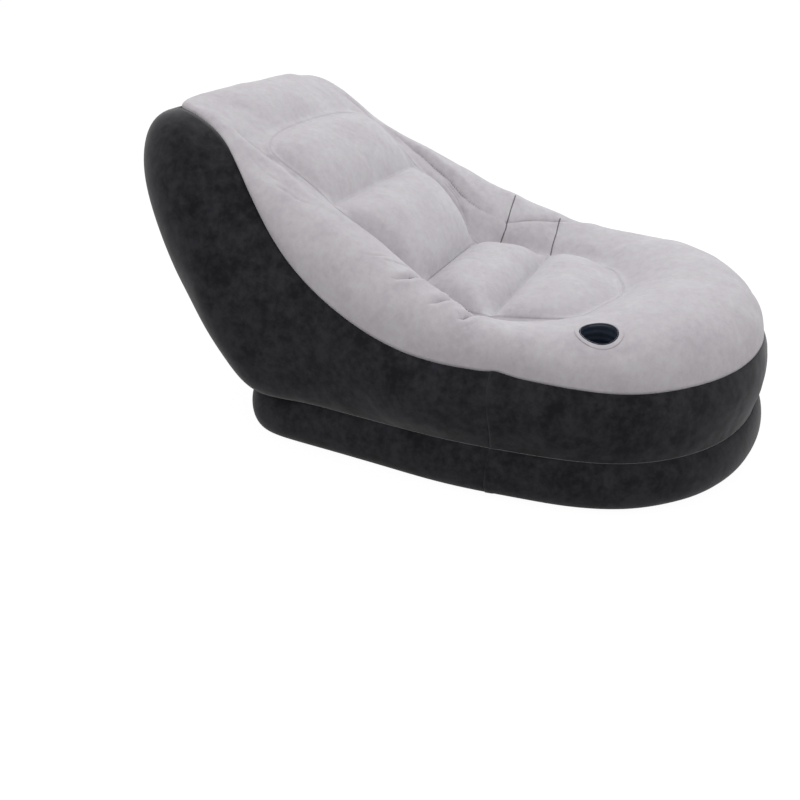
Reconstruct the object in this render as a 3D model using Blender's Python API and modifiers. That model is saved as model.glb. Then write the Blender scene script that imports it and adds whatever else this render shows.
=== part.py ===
"""Inflatable lounge chair: a flocked top, side bands, a base ring, inner webs, a cup well and a valve.

Metres, +Z up. The chair faces -Y and stands on the floor at z = 0, with the middle of its box at x = y = 0.
Every sheet hangs between the same four closed lines: the floor line, the waist, the seam and the panel weld.
A place along a line is a station: 0 at the front, 6 at the rear, and back to 12 round the other side.
"""

import math

import bmesh
import bpy
import numpy as np
from mathutils import Matrix, Vector

# Plan and heights of the body
BASE_WIDTH = 0.99
BASE_LENGTH = 1.255
SEAM_WIDTH = 0.954
SEAM_LENGTH = 1.355
SEAM_SETBACK = 0.04
PANEL_WIDTH = 0.53
PANEL_LENGTH = 0.82
PANEL_SETBACK = 0.365
WAIST_HEIGHT = 0.115
TOE_SEAM_HEIGHT = 0.265
HEAD_SEAM_HEIGHT = 0.745
SEAT_WELD_HEIGHT = 0.321
HEAD_WELD_HEIGHT = 0.678
FLOOR_INSET = 0.048
WAIST_INSET = 0.035

# How far the air pushes each sheet out
ROLL_RISE = 0.16
BAND_BULGE = 0.21
BASE_BULGE = 0.045
KNEE_CROWN = 0.036
SEAT_CROWN = 0.056
LUMBAR_CROWN = 0.054
BACK_CROWN = 0.036

# Sheets and the clearances between them
SKIN = 0.0008
INNER_SHEET = 0.0005
WELD_GAP = 0.0004
UNDER_WELD = SKIN + WELD_GAP
WEB_CLEARANCE = 0.0007
LUMBAR_WEB_INSET = 0.0032
VENT_RADIUS = 0.011
MERGE_DISTANCE = 0.00001

# Cup well
CUP_BORE = 0.076
CUP_DEPTH = 0.09
CUP_WALL = 0.0009
CUP_RIM_WIDTH = 0.0085
CUP_RIM_THICKNESS = 0.0012
CUP_CLEARANCE = 0.0006
CUP_STATION = 10.6
CUP_ROLL_SHARE = 0.45
CUP_LEAN_SHARE = 0.5

# Valve
VALVE_NECK_RADIUS = 0.0205
VALVE_NECK_WALL = 0.0045
VALVE_NECK_REACH = 0.004
VALVE_FLANGE_RADIUS = 0.034
VALVE_FLANGE_THICKNESS = 0.0016
VALVE_FLANGE_DEPTH = 0.006
VALVE_CLEARANCE = 0.0004
PLUG_WALL = 0.0042
PLUG_DEPTH = 0.0085
PLUG_HEAD_RADIUS = 0.0245
PLUG_HEAD_THICKNESS = 0.0032
PLUG_GRIP_COUNT = 12
PLUG_GRIP_RADIUS = 0.0022
SEAL_THICKNESS = 0.0018
CAP_THICKNESS = 0.0016
CAP_LIP = 0.0032
CAP_BOSS = 0.0036
CAP_BOSS_CLEARANCE = 0.0008
CAP_STRAP_WIDTH = 0.006
CAP_STRAP_REACH = 0.0055
CAP_HINGE_RADIUS = 0.0009
CAP_EAR_THICKNESS = 0.0016
FLAP_THICKNESS = 0.001
FLAP_LAP = 0.0017
VALVE_BAND_ROW = 2

# Mesh columns between whole stations, and rows of each sheet
COLUMN_COUNTS = (5, 4, 4, 4, 6, 5)
ROLL_ROWS = 10
BAND_ROWS = 8
BASE_ROWS = 5
ROUND_SEGMENTS = 32
# The lap seams of the bands, as a share of the way from front to rear
LAP_SHARE = 0.345

# Rows: station, across as a share of half the width, along as a share of the length
FLOOR_PLAN_SHARES = (
    (0, 0, 0), (0.5, 0.432, 0.03), (1, 0.75, 0.108), (1.5, 0.946, 0.23), (2, 1, 0.38),
    (3, 0.99, 0.556), (4, 0.934, 0.726), (4.5, 0.897, 0.835), (5, 0.797, 0.935), (5.4, 0.527, 0.983),
    (6, 0, 1),
)
# Rows as above, and the rise from the lowest to the highest point of the line
SEAM_SHARES = (
    (0, 0, 0, 0.01), (0.5, 0.416, 0.031, 0), (1, 0.727, 0.106, 0), (1.5, 0.929, 0.213, 0.02),
    (2, 0.985, 0.36, 0.055), (2.5, 1, 0.428, 0.065), (3, 0.993, 0.52, 0.098),
    (3.5, 0.951, 0.634, 0.222), (4, 0.882, 0.742, 0.447), (4.5, 0.757, 0.833, 0.754),
    (4.8, 0.685, 0.887, 0.91), (5, 0.658, 0.935, 0.98), (5.3, 0.577, 0.975, 0.995),
    (5.6, 0.355, 0.982, 1), (6, 0, 0.984, 1),
)
PANEL_SHARES = (
    (0, 0, 0, 0.021), (0.5, 0.395, 0.032, 0.02), (1, 0.721, 0.084, 0.004), (1.5, 0.877, 0.189, 0),
    (2, 0.948, 0.301, 0), (3, 0.791, 0.538, 0.08), (3.5, 0.869, 0.658, 0.342), (4, 0.947, 0.778, 0.605),
    (4.5, 1, 0.877, 0.79), (5, 0.989, 0.958, 0.926), (5.4, 0.679, 0.994, 0.983), (6, 0, 1, 1),
)
# Rows: station, then the roll's handle at the seam (out, up) and at the panel weld (out, up), of ROLL_RISE
ROLL_SHARES = (
    (0, -0.08, 0.85, 0.64, 0.62), (1, 0.06, 0.96, 0.66, 0.6), (2, 0.2, 0.9, 0.72, 0.28),
    (3, 0.2, 1.24, 0.45, 0.8), (3.5, 0.17, 1.1, 0.43, 0.75), (4, 0.19, 0.75, 0.37, 0.39),
    (4.5, 0.15, 0.28, 0.22, 0.19), (5, 0, 0.22, 0.13, 0.18), (5.4, 0.1, 0.32, 0.19, 0.34),
    (6, 0.09, 0.28, 0.18, 0.58),
)
# Rows: station, then the band's handle at the waist and at the seam: out (of BAND_BULGE), up (of its height)
BAND_SHARES = (
    (0, 0.05, 0.26, 0.13, 0.25), (2, 0.14, 0.26, 0.21, 0.29), (3, 0.21, 0.22, 0.24, 0.3),
    (4, 0.29, 0.15, 0.4, 0.2), (4.5, 0.46, 0, 0.83, 0.1), (5, 0.53, 0, 1.21, 0),
    (5.4, 0.4, 0.12, 1.04, 0.03), (6, 0.32, 0.18, 0.72, 0.04),
)
STATIONS_ROUND = 12
# Steps for slopes along a line, in stations, and up a sheet, as a share of its rows
STATION_STEP = 0.05
ROW_STEP_SHARE = 0.01
UP = np.array((0.0, 0.0, 1.0))


def closed_spline(stations, values, at):
    """Smooth closed curve through the values at their stations, read at other stations."""
    stations = np.asarray(stations, float)
    values = np.asarray(values, float)
    count = len(stations)
    steps = np.diff(np.append(stations, stations[0] + STATIONS_ROUND))
    matrix = np.zeros((count, count))
    right = np.zeros(values.shape)
    for i in range(count):
        before, after = i - 1, (i + 1) % count
        matrix[i, before] += steps[before]
        matrix[i, i] += 2 * (steps[before] + steps[i])
        matrix[i, after] += steps[i]
        slope_after = (values[after] - values[i]) / steps[i]
        slope_before = (values[i] - values[before]) / steps[before]
        right[i] = 6 * (slope_after - slope_before)
    bends = np.linalg.solve(matrix, right)
    at = np.mod(np.asarray(at, float), STATIONS_ROUND)
    k = np.clip(np.searchsorted(stations, at, side="right") - 1, 0, count - 1)
    k_next = (k + 1) % count
    part, step = (at - stations[k])[:, None], steps[k][:, None]
    cubic = (bends[k_next] - bends[k]) / (6 * step)
    linear = (values[k_next] - values[k]) / step - step * (2 * bends[k] + bends[k_next]) / 6
    return ((cubic * part + bends[k] / 2) * part + linear) * part + values[k]


def round_line(table, at, odd_columns=1):
    """Reads a half table at stations all round; the first odd_columns change sign on the other side."""
    rows = np.asarray(table, float)
    inner = rows[1:-1][::-1]
    other = inner[:, 1:].copy()
    other[:, :odd_columns] *= -1
    stations = np.append(rows[:, 0], STATIONS_ROUND - inner[:, 0])
    return closed_spline(stations, np.concatenate([rows[:, 1:], other]), at)


def unit(vectors):
    return vectors / np.linalg.norm(vectors, axis=-1, keepdims=True)


def floor_plan(at):
    across, along = round_line(FLOOR_PLAN_SHARES, at).T
    return np.stack([across * BASE_WIDTH / 2, along * BASE_LENGTH, 0 * along], axis=-1)


def seam_line(at):
    across, along, rise = round_line(SEAM_SHARES, at).T
    height = TOE_SEAM_HEIGHT + rise * (HEAD_SEAM_HEIGHT - TOE_SEAM_HEIGHT)
    return np.stack([across * SEAM_WIDTH / 2, SEAM_SETBACK + along * SEAM_LENGTH, height], axis=-1)


def panel_line(at):
    across, along, rise = round_line(PANEL_SHARES, at).T
    height = SEAT_WELD_HEIGHT + rise * (HEAD_WELD_HEIGHT - SEAT_WELD_HEIGHT)
    return np.stack([across * PANEL_WIDTH / 2, PANEL_SETBACK + along * PANEL_LENGTH, height], axis=-1)


def outward(line, at):
    """Level direction square to a line, away from the chair."""
    at = np.asarray(at)
    ahead = line(at + STATION_STEP) - line(at - STATION_STEP)
    return unit(np.stack([ahead[:, 1], -ahead[:, 0], 0 * ahead[:, 0]], axis=-1))


def bezier(start, first, second, end, rows):
    t = np.asarray(rows, float)[None, :, None]
    start, first, second, end = (points[:, None, :] for points in (start, first, second, end))
    return (1 - t) ** 3 * start + 3 * (1 - t) ** 2 * t * first + 3 * (1 - t) * t**2 * second + t**3 * end


def waist_line(at):
    return floor_plan(at) - outward(floor_plan, at) * WAIST_INSET + UP * WAIST_HEIGHT


def floor_line(at):
    return floor_plan(at) - outward(floor_plan, at) * FLOOR_INSET


def roll_sheet(at, rows):
    """The rolled edge from the seam (row 0) over its crest to the panel weld (row 1)."""
    seam, panel = seam_line(at), panel_line(at)
    out = unit((seam - panel) * (1, 1, 0))
    handles = round_line(ROLL_SHARES, at, 0)[:, :, None] * ROLL_RISE
    first = seam + out * handles[:, 0] + UP * handles[:, 1]
    second = panel + out * handles[:, 2] + UP * handles[:, 3]
    return bezier(seam, first, second, panel, rows)


def band_sheet(at, rows):
    """The side band from the waist (row 0) up to the seam (row 1)."""
    waist, seam = waist_line(at), seam_line(at)
    height = (seam - waist)[:, 2:]
    handles = round_line(BAND_SHARES, at, 0)[:, :, None]
    first = waist + outward(floor_plan, at) * handles[:, 0] * BAND_BULGE + UP * height * handles[:, 1]
    second = seam + outward(seam_line, at) * handles[:, 2] * BAND_BULGE - UP * height * handles[:, 3]
    return bezier(waist, first, second, seam, rows)


def base_sheet(at, rows):
    """The base ring from the floor (row 0) up to the waist (row 1)."""
    low_share, high_share, high_out_share = 0.1, 0.78, 0.65
    floor, waist, out = floor_line(at), waist_line(at), outward(floor_plan, at)
    first = floor + out * BASE_BULGE + UP * WAIST_HEIGHT * low_share
    second = floor * (1, 1, 0) + out * (BASE_BULGE * high_out_share + FLOOR_INSET - WAIST_INSET)
    return bezier(floor, first, second + UP * WAIST_HEIGHT * high_share, waist, rows)


def columns(first, last):
    """Stations of the mesh columns between two stations, both included."""
    half = [whole + k / count for whole, count in enumerate(COLUMN_COUNTS) for k in range(count)]
    middle = STATIONS_ROUND / 2
    round_once = half + [middle] + [STATIONS_ROUND - s for s in half[::-1]]
    every = sorted({round(s + turn, 6) for s in round_once for turn in (-STATIONS_ROUND, 0)} | {first, last})
    return np.array([s for s in every if first <= s <= last])


def even(count):
    return np.linspace(0, 1, count + 1)


def box_middle():
    """Half way between the front and the rear of the body's box."""
    at = columns(0, STATIONS_ROUND)
    along = [sheet(at, even(rows))[..., 1] for sheet, rows in
             ((roll_sheet, ROLL_ROWS), (band_sheet, BAND_ROWS), (base_sheet, BASE_ROWS))]
    return (min(y.min() for y in along) + max(y.max() for y in along)) / 2


CENTRE = np.array((0, box_middle(), 0))


def drawn_back(grid, first=True, last=True, axis=1):
    """Ends a sheet one weld gap short of its first and last line."""
    grid = np.moveaxis(np.array(grid), axis, 0)
    if first:
        grid[0] = grid[0] + unit(grid[1] - grid[0]) * WELD_GAP
    if last:
        grid[-1] = grid[-1] + unit(grid[-2] - grid[-1]) * WELD_GAP
    return np.moveaxis(grid, 0, axis)


# Scene, materials and meshes

for old in list(bpy.data.objects):
    bpy.data.objects.remove(old, do_unlink=True)


def collection(name):
    made = bpy.data.collections.new(name)
    bpy.context.scene.collection.children.link(made)
    return made


CHAIR = collection("inflatable_chair")
CUTTERS = collection("cutters")


def finish(name, colour, roughness, metallic=0.0):
    material = bpy.data.materials.new(name)
    material.use_nodes = True
    shader = material.node_tree.nodes["Principled BSDF"]
    shader.inputs["Base Color"].default_value = (*colour, 1)
    shader.inputs["Roughness"].default_value = roughness
    shader.inputs["Metallic"].default_value = metallic
    return material


PALE_FLOCK = finish("pale_flock", (0.56, 0.53, 0.55), 0.95)
DARK_FLOCK = finish("dark_flock", (0.035, 0.037, 0.042), 0.95)
BOTTOM_VINYL = finish("bottom_vinyl", (0.03, 0.032, 0.036), 0.5)
CLEAR_VINYL = finish("inner_vinyl", (0.45, 0.47, 0.5), 0.4)
CUP_VINYL = finish("cup_vinyl", (0.05, 0.065, 0.085), 0.25)
VALVE_PLASTIC = finish("valve_plastic", (0.05, 0.05, 0.055), 0.45)
SEAL_RUBBER = finish("seal_rubber", (0.02, 0.02, 0.02), 0.7)


def add_object(name, mesh, material, parent=None, group=CHAIR):
    made = bpy.data.objects.new(name, mesh)
    group.objects.link(made)
    if material:
        mesh.materials.append(material)
    mesh.shade_smooth()
    made.parent = parent
    return made


def mesh_of(name, shape):
    mesh = bpy.data.meshes.new(name)
    shape.to_mesh(mesh)
    shape.free()
    return mesh


def thicken(piece, thickness, offset=-1.0):
    wall = piece.modifiers.new("wall", "SOLIDIFY")
    wall.thickness = thickness
    wall.offset = offset
    return piece


def loft(name, grid, material, thickness, closed=False, offset=-1.0):
    """A sheet through a grid of points, columns first. Its faces point to the right of the columns' way."""
    shape = bmesh.new()
    verts = [[shape.verts.new(point - CENTRE) for point in column] for column in grid]
    pairs = list(zip(verts, verts[1:] + verts[:1])) if closed else list(zip(verts, verts[1:]))
    for one, two in pairs:
        for row in range(len(one) - 1):
            shape.faces.new((one[row], two[row], two[row + 1], one[row + 1]))
    piece = add_object(name, mesh_of(name, shape), material)
    return thicken(piece, thickness, offset)


def cutter(name, mesh, parent=None):
    made = add_object(name, mesh, None, parent, CUTTERS)
    made.hide_render = True
    made.display_type = "WIRE"
    return made


def cut(piece, tool, operation="DIFFERENCE"):
    boolean = piece.modifiers.new(tool.name, "BOOLEAN")
    boolean.operation = operation
    boolean.object = tool


def cylinders(name, radius, places):
    """One cutter of several cylinders, each given as a centre, an axis and a length."""
    shape = bmesh.new()
    for centre, axis, length in places:
        turn = Vector(axis).to_track_quat("Z", "Y").to_matrix().to_4x4()
        bmesh.ops.create_cone(
            shape, cap_ends=True, segments=ROUND_SEGMENTS // 2, radius1=radius, radius2=radius, depth=length,
            matrix=Matrix.Translation(Vector(centre)) @ turn,
        )
    return cutter(name, mesh_of(name, shape))


def block(name, size, centre, parent):
    shape = bmesh.new()
    scale = Matrix.Diagonal((*size, 1))
    bmesh.ops.create_cube(shape, size=1, matrix=Matrix.Translation(Vector(centre)) @ scale)
    return cutter(name, mesh_of(name, shape), parent)


# Outer skin

def panel_sheet(first, last, crowns):
    """The quilted panel between two cross welds, as pads that swell between the welds at whole stations."""
    side = columns(first, last)
    side = np.sort(np.append(side, (side[1:] + side[:-1]) / 2))
    right = corner_line(side)[:, None]
    left = right * (-1, 1, 1)
    across = 4 * COLUMN_COUNTS[0]
    pad_power, side_power = 2.8, 4
    u = np.linspace(0, 1, across + 1)[:, None]
    flat = (1 - u) * right + u * left
    if first == 1:
        flat += np.clip(2 - side, 0, 1)[:, None, None] * (corner_line(end_stations(first, across)) - flat[0])
    if last == 5:
        flat += np.clip(side - 4, 0, 1)[:, None, None] * (corner_line(end_stations(last, across)) - flat[-1])
    up = np.cross((1.0, 0.0, 0.0), unit((right[-1] - right[0]) * (0, 1, 1)))
    pad = side - np.floor(side)
    pad[-1] = 1
    crown = np.array([crowns[min(int(s) - first, len(crowns) - 1)] for s in side])
    along = crown * (1 - np.abs(2 * pad - 1) ** pad_power)
    swell = along[:, None] * (1 - np.abs(2 * u[:, 0] - 1) ** side_power)
    return flat + swell[..., None] * up


def corner_line(at):
    """The panel weld as the straight edges that the mesh columns give it."""
    at = np.asarray(at, float)
    known = columns(-STATIONS_ROUND / 2, STATIONS_ROUND)
    points = panel_line(known)
    return np.stack([np.interp(at, known, points[:, axis]) for axis in range(3)], axis=-1)


def end_stations(end, across):
    """Stations along the curved end of a panel, from the +X corner to the other."""
    middle = 0 if end == 1 else STATIONS_ROUND / 2
    return np.linspace(end, 2 * middle - end, across + 1)


def add_skin():
    all_round = columns(0, STATIONS_ROUND)[:-1]
    roll = drawn_back(roll_sheet(all_round, even(ROLL_ROWS)))
    surround = loft("top_surround", roll, PALE_FLOCK, SKIN, closed=True)
    panels = (
        ("seat_panel", 1, 3, (KNEE_CROWN, SEAT_CROWN)), ("back_panel", 3, 5, (LUMBAR_CROWN, BACK_CROWN)),
    )
    for name, first, last, crowns in panels:
        sheet = drawn_back(drawn_back(panel_sheet(first, last, crowns), axis=0))
        loft(name, sheet, PALE_FLOCK, SKIN)
    lap = LAP_SHARE * STATIONS_ROUND / 2
    front = columns(-lap, lap)
    rear = columns(lap, STATIONS_ROUND - lap)
    for name, at in (("front", front), ("rear", rear)):
        band = drawn_back(drawn_back(band_sheet(at, even(BAND_ROWS))), axis=0)
        loft(name + "_side_band", band, DARK_FLOCK, SKIN)
        base = drawn_back(drawn_back(base_sheet(at, even(BASE_ROWS))), axis=0)
        loft(name + "_base_band", base, DARK_FLOCK, SKIN)
    flat_sheet("bottom_sheet", floor_line, BOTTOM_VINYL, SKIN, 0, SKIN)
    return surround


def flat_sheet(name, line, material, thickness, height, inset):
    """A level sheet inside a closed line, an inset short of it."""
    at = columns(0, STATIONS_ROUND)[:-1]
    shape = bmesh.new()
    ring = [shape.verts.new(point - CENTRE) for point in line(at) - outward(line, at) * inset]
    shape.faces.new(ring)
    for vert in ring:
        vert.co.z = height
    piece = add_object(name, mesh_of(name, shape), material)
    return thicken(piece, thickness, 1.0)


# Inner webs and ties

def web(name, top, bottom, thickness=INNER_SHEET, rows=2):
    """A flat or bent sheet ruled between two lines of as many points."""
    share = np.linspace(0, 1, rows + 1)[None, :, None]
    grid = bottom[:, None] * (1 - share) + top[:, None] * share
    return loft(name, grid, CLEAR_VINYL, thickness, offset=0.0)


def floor_of_webs(line):
    """The line dropped straight down to just above the waist sheet."""
    return line * (1, 1, 0) + UP * (WAIST_HEIGHT + INNER_SHEET + WELD_GAP)


def weld_across(station, depth, inset, points=9):
    """A line at a depth under a cross weld of the panel, short of both its ends by the inset."""
    before, right, after = panel_line([station - 1, station, station + 1])
    across = np.linspace(right[0] - inset, inset - right[0], points)[:, None]
    up = unit(np.cross((1.0, 0.0, 0.0), (after - before) * (0, 1, 1)))
    return right * (0, 1, 1) + across * (1, 0, 0) - up * depth


def face_at(sheet, at, row):
    """A sheet's point, outward normal and way up at a station and row."""
    across = sheet([at], [row - ROW_STEP_SHARE, row, row + ROW_STEP_SHARE])[0]
    along = (sheet([at + STATION_STEP], [row]) - sheet([at - STATION_STEP], [row]))[0, 0]
    rise = across[2] - across[0]
    return across[1], unit(np.cross(along, rise)), rise


def inside(sheet, at, rows, depth):
    """Points under the outer face of a sheet, one for each station and row."""
    faces = [face_at(sheet, station, row) for station, row in zip(at, rows)]
    return np.array([point - normal * depth for point, normal, _ in faces])


def vents(piece, places):
    """Air holes through an inner sheet."""
    length = 4 * VENT_RADIUS
    holes = [(point - CENTRE, axis, length) for point, axis in places]
    cut(piece, cylinders(piece.name + "_vents", VENT_RADIUS, holes))


def add_inner_sheets():
    waist = flat_sheet("waist_sheet", waist_line, CLEAR_VINYL, INNER_SHEET, WAIST_HEIGHT, UNDER_WELD)
    middle = np.array((0, BASE_LENGTH / 2, WAIST_HEIGHT))
    to_rim_share = 0.82
    vent_stations = np.array((1, 3, 4.7, 7.3, 9, 11))
    vents(waist, [(middle + (p - middle) * to_rim_share, UP) for p in waist_line(vent_stations)])

    border = columns(-4 + 1 / COLUMN_COUNTS[3], 4 - 1 / COLUMN_COUNTS[3])
    top = panel_line(border) - UP * UNDER_WELD
    border_web = web("seat_border_web", top, floor_of_webs(top))
    vent_height = (WAIST_HEIGHT + SEAT_WELD_HEIGHT) / 2
    border_vents = np.array((-2.5, 0, 2.5))
    places = panel_line(border_vents) * (1, 1, 0) + UP * vent_height
    vents(border_web, list(zip(places, outward(panel_line, border_vents))))

    under_skin = SKIN + WEB_CLEARANCE
    for name, station, depth in (("seat_middle_web", 2, under_skin), ("seat_crease_web", 3, UNDER_WELD)):
        top = weld_across(station, depth, INNER_SHEET / 2 + WELD_GAP)
        piece = web(name, top, floor_of_webs(top))
        side = np.array((PANEL_WIDTH / 4, 0, 0))
        centre = top[len(top) // 2] * (1, 1, 0) + UP * vent_height
        vents(piece, [(centre + side, (0, 1, 0)), (centre - side, (0, 1, 0))])

    lumbar_span, lumbar_row = columns(5.4, 6.6), BAND_ROWS // 2
    rear = inside(band_sheet, lumbar_span, [lumbar_row / BAND_ROWS] * len(lumbar_span), under_skin)
    web("lumbar_web", weld_across(4, under_skin, LUMBAR_WEB_INSET, len(lumbar_span)), rear)
    head_span, head_row = columns(5.2, 6.8), lumbar_row + 1
    rear = inside(band_sheet, head_span, [head_row / BAND_ROWS] * len(head_span), under_skin)
    web("head_web", panel_line(head_span) - UP * UNDER_WELD, rear)

    tie_rows = np.arange(ROLL_ROWS // 2, ROLL_ROWS) / ROLL_ROWS
    for place, station in (("front", 2.15), ("rear", 2.8)):
        for side, at in (("left", station), ("right", STATIONS_ROUND - station)):
            top = inside(roll_sheet, [at] * len(tie_rows), tie_rows, under_skin)
            top = top if side == "left" else top[::-1]
            web(f"arm_tie_{place}_{side}", top, floor_of_webs(top))


# Cup well

def frame_on(sheet, at, row, lean_share=1.0):
    """Matrix on a sheet's outer face: Z along its normal, or nearer to upright, and Y up the sheet."""
    point, normal, rise = face_at(sheet, at, row)
    z = Vector(normal * lean_share + UP * (1 - lean_share)).normalized()
    y = (Vector(rise) - z * z.dot(Vector(rise))).normalized()
    turn = Matrix((y.cross(z), y, z)).transposed().to_4x4()
    return Matrix.Translation(Vector(point - CENTRE)) @ turn


def mount_point(name, matrix):
    made = bpy.data.objects.new(name, None)
    CHAIR.objects.link(made)
    made.matrix_world = matrix
    return made


def turned(name, profile, material, parent, closed=True, group=CHAIR):
    """A turned piece: its profile of (radius, height) runs down the outer side, from the top."""
    shape = bmesh.new()
    verts = [shape.verts.new((radius, 0, height)) for radius, height in profile]
    for one, two in zip(verts, verts[1:] + (verts[:1] if closed else [])):
        shape.edges.new((one, two))
    piece = add_object(name, mesh_of(name, shape), material, parent, group)
    screw = piece.modifiers.new("turn", "SCREW")
    screw.steps = screw.render_steps = ROUND_SEGMENTS
    screw.use_merge_vertices = True
    screw.merge_threshold = MERGE_DISTANCE
    return piece


def hidden(piece):
    piece.hide_render = True
    piece.display_type = "WIRE"
    return piece


def hole_tool(name, radius, reach, parent):
    profile = ((0, reach), (radius, reach), (radius, -reach), (0, -reach))
    return hidden(turned(name, profile, None, parent, False, CUTTERS))


def offset_copy(name, source, material, lift, thickness, group):
    """A sheet over another one's outer face, lifted off it."""
    piece = add_object(name, source.data.copy(), None, None, group)
    piece.data.materials.clear()
    piece.data.materials.append(material)
    raise_up = piece.modifiers.new("lift", "DISPLACE")
    raise_up.strength = lift
    raise_up.mid_level = 0
    return thicken(piece, thickness, 1.0)


def add_cup_well(surround):
    place = mount_point("cup_place", frame_on(roll_sheet, CUP_STATION, CUP_ROLL_SHARE, CUP_LEAN_SHARE))
    bore = CUP_BORE / 2
    outer = bore + CUP_WALL
    hole = outer + CUP_CLEARANCE
    rim_outer = hole + CUP_RIM_WIDTH
    reach = bore

    cut(surround, hole_tool("cup_hole", hole, reach, place))

    rim_profile = ((hole, reach), (rim_outer, reach), (rim_outer, -reach), (hole, -reach))
    rim_tool = hidden(turned("cup_rim_ring", rim_profile, None, place, True, CUTTERS))
    rim = offset_copy("cup_rim", surround, PALE_FLOCK, CUP_CLEARANCE, CUP_RIM_THICKNESS, CHAIR)
    cut(rim, rim_tool, "INTERSECT")

    above = CUP_CLEARANCE + CUP_RIM_THICKNESS
    over = hidden(offset_copy("cup_over", surround, PALE_FLOCK, above, 2 * reach, CUTTERS))
    profile = (
        (bore, reach), (outer, reach), (outer, -CUP_DEPTH), (0, -CUP_DEPTH), (0, -CUP_DEPTH + CUP_WALL),
        (bore, -CUP_DEPTH + CUP_WALL),
    )
    well = turned("cup_well", profile, CUP_VINYL, place, True)
    cut(well, over)
    return place


# Valve

def add_valve(band):
    row = VALVE_BAND_ROW / BAND_ROWS
    place = mount_point("valve_place", frame_on(band_sheet, STATIONS_ROUND / 2, row))
    neck, neck_bore = VALVE_NECK_RADIUS, VALVE_NECK_RADIUS - VALVE_NECK_WALL
    hole = neck + VALVE_CLEARANCE
    reach = VALVE_FLANGE_RADIUS
    cut(band, hole_tool("valve_hole", hole, reach, place))

    flange_top, flange_bottom = -VALVE_FLANGE_DEPTH, -VALVE_FLANGE_DEPTH - VALVE_FLANGE_THICKNESS
    turned("valve_body", (
        (neck_bore, VALVE_NECK_REACH), (neck, VALVE_NECK_REACH), (neck, flange_top),
        (VALVE_FLANGE_RADIUS, flange_top), (VALVE_FLANGE_RADIUS, flange_bottom), (neck_bore, flange_bottom),
    ), VALVE_PLASTIC, place)

    plug = neck_bore - VALVE_CLEARANCE
    plug_bore = plug - PLUG_WALL
    seal_height = VALVE_NECK_REACH + VALVE_CLEARANCE + SEAL_THICKNESS / 2
    bpy.ops.mesh.primitive_torus_add(
        major_radius=(plug + neck) / 2, minor_radius=SEAL_THICKNESS / 2,
        major_segments=ROUND_SEGMENTS, minor_segments=8, location=(0, 0, 0),
    )
    seal = bpy.context.object
    seal.name = seal.data.name = "valve_seal"
    for group in list(seal.users_collection):
        group.objects.unlink(seal)
    CHAIR.objects.link(seal)
    seal.data.materials.append(SEAL_RUBBER)
    seal.data.shade_smooth()
    seal.parent = place
    seal.location.z = seal_height

    head_bottom = seal_height + SEAL_THICKNESS / 2 + VALVE_CLEARANCE
    head_top = head_bottom + PLUG_HEAD_THICKNESS
    plug_piece = turned("valve_plug", (
        (plug_bore, head_top), (PLUG_HEAD_RADIUS, head_top), (PLUG_HEAD_RADIUS, head_bottom),
        (plug, head_bottom), (plug, -PLUG_DEPTH), (plug_bore, -PLUG_DEPTH),
    ), VALVE_PLASTIC, place)
    grip_out_share, grip_turn_share = 1 / 3, 1 / 3
    grip_circle = PLUG_HEAD_RADIUS + PLUG_GRIP_RADIUS * grip_out_share
    grips = [(grip_circle * math.cos(turn), grip_circle * math.sin(turn), head_top)
             for turn in (np.arange(PLUG_GRIP_COUNT) + grip_turn_share) * 2 * math.pi / PLUG_GRIP_COUNT]
    notch_length = 3 * PLUG_HEAD_THICKNESS
    notches = cylinders("plug_grips", PLUG_GRIP_RADIUS, [(p, (0, 0, 1), notch_length) for p in grips])
    notches.parent = place
    cut(plug_piece, notches)

    cap_bottom = head_top + VALVE_CLEARANCE
    cap_radius = plug_bore + CAP_LIP
    boss = plug_bore - CAP_BOSS_CLEARANCE
    hinge_y = cap_radius + CAP_STRAP_REACH
    hinge_z = cap_bottom + CAP_HINGE_RADIUS
    cap = turned("valve_cap", (
        (0, cap_bottom + CAP_THICKNESS), (cap_radius, cap_bottom + CAP_THICKNESS), (cap_radius, cap_bottom),
        (boss, cap_bottom), (boss, cap_bottom - CAP_BOSS), (0, cap_bottom - CAP_BOSS),
    ), VALVE_PLASTIC, place, closed=False)
    strap = block("cap_strap", (CAP_STRAP_WIDTH, hinge_y, CAP_HINGE_RADIUS),
                  (0, hinge_y / 2, cap_bottom + CAP_HINGE_RADIUS), place)
    cut(cap, strap, "UNION")
    hinge_line = ((0, hinge_y, hinge_z), (1, 0, 0), CAP_STRAP_WIDTH)
    knuckle = cylinders("cap_knuckle", CAP_HINGE_RADIUS, [hinge_line])
    knuckle.parent = place
    cut(cap, knuckle, "UNION")

    ear_height = 2 * CAP_HINGE_RADIUS + VALVE_CLEARANCE
    ear_depth = 2 * (PLUG_HEAD_RADIUS - PLUG_GRIP_RADIUS - hinge_y)
    for side in (-1, 1):
        centre_x = side * (CAP_STRAP_WIDTH / 2 + VALVE_CLEARANCE + CAP_EAR_THICKNESS / 2)
        size = (CAP_EAR_THICKNESS, ear_depth, ear_height + PLUG_HEAD_THICKNESS / 2)
        ear = block("plug_ear", size, (centre_x, hinge_y, head_top + ear_height - size[2] / 2), place)
        cut(plug_piece, ear, "UNION")

    flap_top = -PLUG_DEPTH - VALVE_CLEARANCE
    flap = plug_bore + FLAP_LAP
    turned("valve_flap", (
        (0, flap_top), (flap, flap_top), (flap, flap_top - FLAP_THICKNESS), (0, flap_top - FLAP_THICKNESS),
    ), SEAL_RUBBER, place, closed=False)
    return place


top_surround = add_skin()
add_inner_sheets()
add_cup_well(top_surround)
add_valve(bpy.data.objects["rear_side_band"])
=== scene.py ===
import math

import bmesh
import bpy
import numpy as np
from mathutils import Matrix, Vector
from mathutils.kdtree import KDTree


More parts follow.
